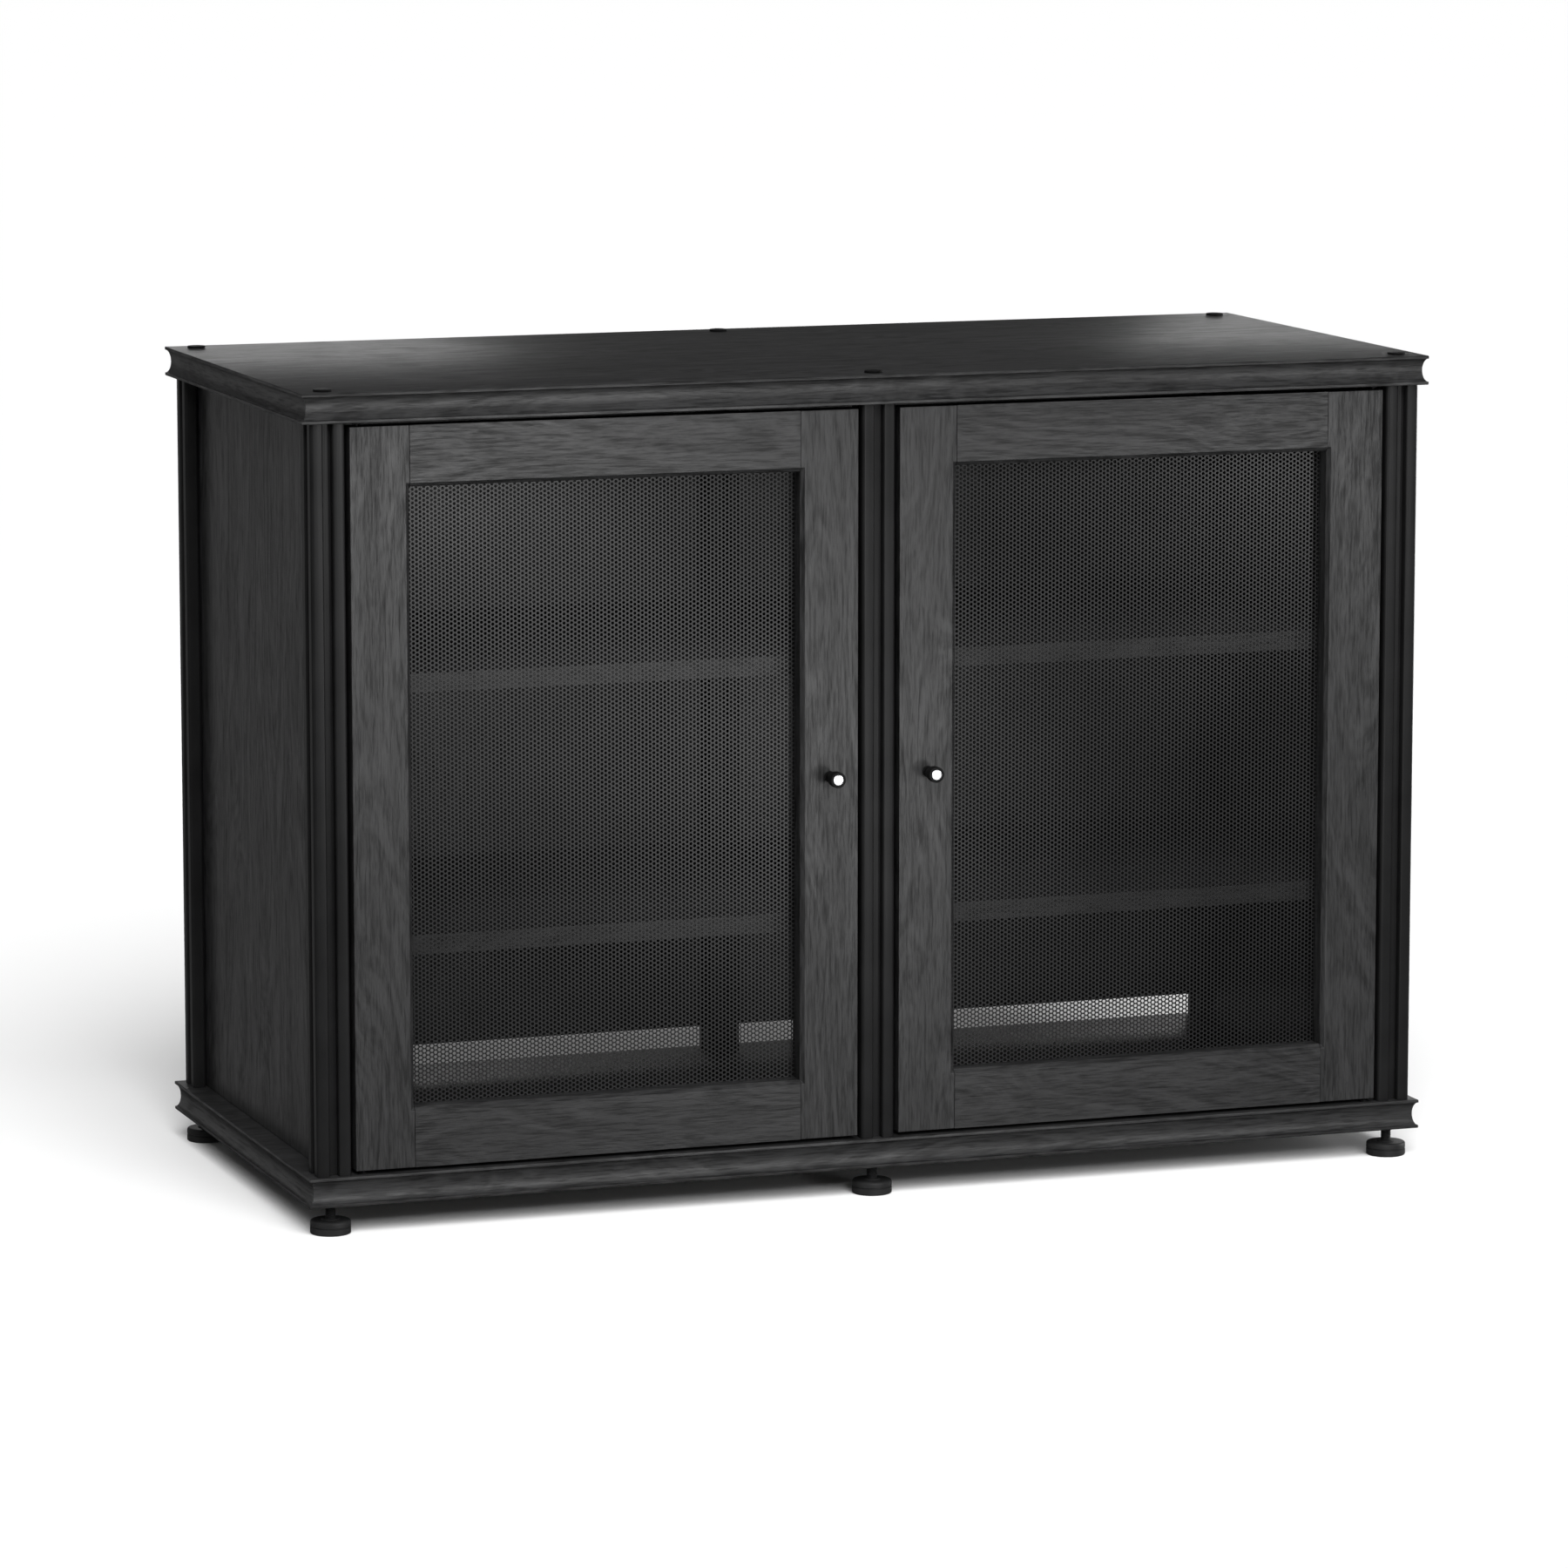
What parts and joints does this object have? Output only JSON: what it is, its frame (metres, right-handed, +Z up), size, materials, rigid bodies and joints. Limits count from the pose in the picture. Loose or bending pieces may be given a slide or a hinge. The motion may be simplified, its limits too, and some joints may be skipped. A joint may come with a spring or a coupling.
{
  "type": "media cabinet",
  "caption": "Low media cabinet with slotted metal posts, thick boards, framed doors with perforated sheets, adjustable shelves and levelling feet.",
  "frame": {"origin": "on the floor, at the middle of the whole object's box in plan, knobs included", "axes": "+X to the right seen from the front, front faces -Y, +Z up"},
  "size_m": [1.12, 0.5158, 0.7858],
  "materials": {
    "black_wood": "satin black open-grain lacquer",
    "black_panel": "satin black open-grain lacquer",
    "black_metal": "black anodised, satin",
    "black_sheet": "black powder coat, perforated",
    "black_plastic": "moulded black",
    "bright_metal": "turned and brushed",
    "steel": "plain zinc-plated"
  },
  "bodies": {
    "cabinet": {"bottom_board": "black_wood", "top_board": "black_wood", "front_left_post": "black_metal", "front_center_post": "black_metal", "front_right_post": "black_metal", "rear_left_post": "black_metal", "rear_center_post": "black_metal", "rear_right_post": "black_metal", "front_left_bolt": "black_metal", "front_center_bolt": "black_metal", "front_right_bolt": "black_metal", "rear_left_bolt": "black_metal", "rear_center_bolt": "black_metal", "rear_right_bolt": "black_metal", "left_side_panel": "black_panel", "left_back_panel": "black_panel", "left_door_top_pivot": "steel", "left_door_bottom_pivot": "steel", "left_door_catch": "black_plastic", "right_side_panel": "black_panel", "right_back_panel": "black_panel", "right_door_top_pivot": "steel", "right_door_bottom_pivot": "steel", "right_door_catch": "black_plastic"},
    "left_door": {"left_door_hinge_stile": "black_wood", "left_door_handle_stile": "black_wood", "left_door_top_rail": "black_wood", "left_door_bottom_rail": "black_wood", "left_door_perforated_sheet": "black_sheet", "left_door_sheet_retainer": "steel", "left_door_knob": "black_metal", "left_door_knob_tip": "bright_metal", "left_door_strike": "steel"},
    "right_door": {"right_door_hinge_stile": "black_wood", "right_door_handle_stile": "black_wood", "right_door_top_rail": "black_wood", "right_door_bottom_rail": "black_wood", "right_door_perforated_sheet": "black_sheet", "right_door_sheet_retainer": "steel", "right_door_knob": "black_metal", "right_door_knob_tip": "bright_metal", "right_door_strike": "steel"},
    "left_upper_shelf": {"left_upper_shelf": "black_wood", "left_upper_shelf_outer_rail": "black_metal", "left_upper_shelf_inner_rail": "black_metal"},
    "left_lower_shelf": {"left_lower_shelf": "black_wood", "left_lower_shelf_outer_rail": "black_metal", "left_lower_shelf_inner_rail": "black_metal"},
    "right_upper_shelf": {"right_upper_shelf": "black_wood", "right_upper_shelf_outer_rail": "black_metal", "right_upper_shelf_inner_rail": "black_metal"},
    "right_lower_shelf": {"right_lower_shelf": "black_wood", "right_lower_shelf_outer_rail": "black_metal", "right_lower_shelf_inner_rail": "black_metal"},
    "front_left_foot": {"front_left_foot": "black_plastic"},
    "front_center_foot": {"front_center_foot": "black_plastic"},
    "front_right_foot": {"front_right_foot": "black_plastic"},
    "rear_left_foot": {"rear_left_foot": "black_plastic"},
    "rear_center_foot": {"rear_center_foot": "black_plastic"},
    "rear_right_foot": {"rear_right_foot": "black_plastic"}
  },
  "joints": [
    {"name": "left_door_hinge", "type": "hinge", "parent": "cabinet", "child": "left_door", "pos_m": [-0.5063, -0.2266, 0.40575], "axis": [0, 0, -1], "range_deg": [0, 110]},
    {"name": "right_door_hinge", "type": "hinge", "parent": "cabinet", "child": "right_door", "pos_m": [0.5063, -0.2266, 0.40575], "axis": [0, 0, 1], "range_deg": [0, 110]},
    {"name": "left_upper_shelf_slide", "type": "slide", "parent": "cabinet", "child": "left_upper_shelf", "axis": [0, 0, 1], "range_m": [-0.064, 0.064]},
    {"name": "left_lower_shelf_slide", "type": "slide", "parent": "cabinet", "child": "left_lower_shelf", "axis": [0, 0, 1], "range_m": [-0.064, 0.064]},
    {"name": "right_upper_shelf_slide", "type": "slide", "parent": "cabinet", "child": "right_upper_shelf", "axis": [0, 0, 1], "range_m": [-0.064, 0.064]},
    {"name": "right_lower_shelf_slide", "type": "slide", "parent": "cabinet", "child": "right_lower_shelf", "axis": [0, 0, 1], "range_m": [-0.064, 0.064]},
    {"name": "front_left_foot_screw", "type": "slide", "parent": "cabinet", "child": "front_left_foot", "axis": [0, 0, -1], "range_m": [-0.01, 0.01]},
    {"name": "front_center_foot_screw", "type": "slide", "parent": "cabinet", "child": "front_center_foot", "axis": [0, 0, -1], "range_m": [-0.01, 0.01]},
    {"name": "front_right_foot_screw", "type": "slide", "parent": "cabinet", "child": "front_right_foot", "axis": [0, 0, -1], "range_m": [-0.01, 0.01]},
    {"name": "rear_left_foot_screw", "type": "slide", "parent": "cabinet", "child": "rear_left_foot", "axis": [0, 0, -1], "range_m": [-0.01, 0.01]},
    {"name": "rear_center_foot_screw", "type": "slide", "parent": "cabinet", "child": "rear_center_foot", "axis": [0, 0, -1], "range_m": [-0.01, 0.01]},
    {"name": "rear_right_foot_screw", "type": "slide", "parent": "cabinet", "child": "rear_right_foot", "axis": [0, 0, -1], "range_m": [-0.01, 0.01]}
  ]
}
